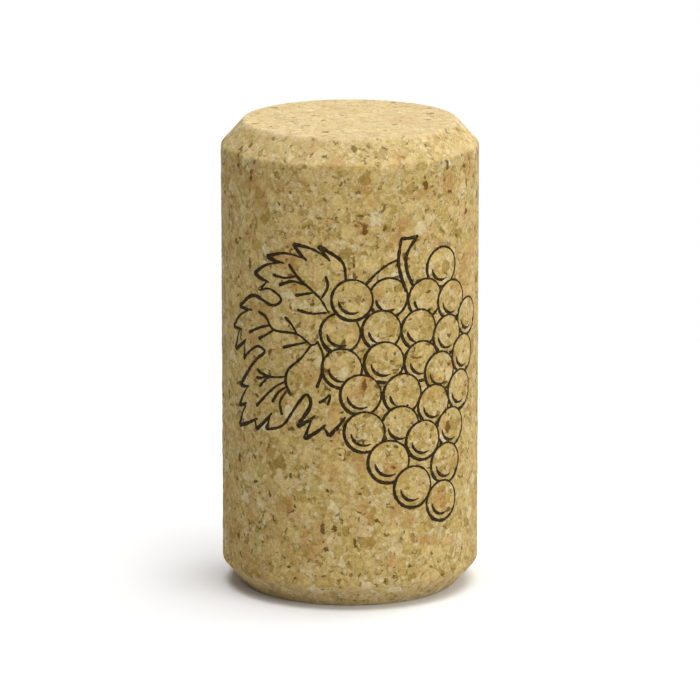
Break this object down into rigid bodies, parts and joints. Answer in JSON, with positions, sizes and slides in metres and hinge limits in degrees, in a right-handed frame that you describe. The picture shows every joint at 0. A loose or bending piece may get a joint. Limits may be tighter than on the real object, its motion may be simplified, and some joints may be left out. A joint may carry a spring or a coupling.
{
  "type": "cork stopper",
  "caption": "Straight cork stopper of bonded cork granules with bevelled ends and a printed grape bunch and leaf round its side, squeezed into a bottle neck to seal it.",
  "frame": {"origin": "middle of the bottom end face", "axes": "+Z along the cork's axis, from the bottom end face to the top one; the front of the print faces -Y"},
  "size_m": [0.024, 0.024, 0.044],
  "materials": {
    "cork": "ground and tumbled agglomerated cork, matt with a slight waxy sheen"
  },
  "bodies": {
    "root": {"stopper": "cork"}
  },
  "joints": []
}
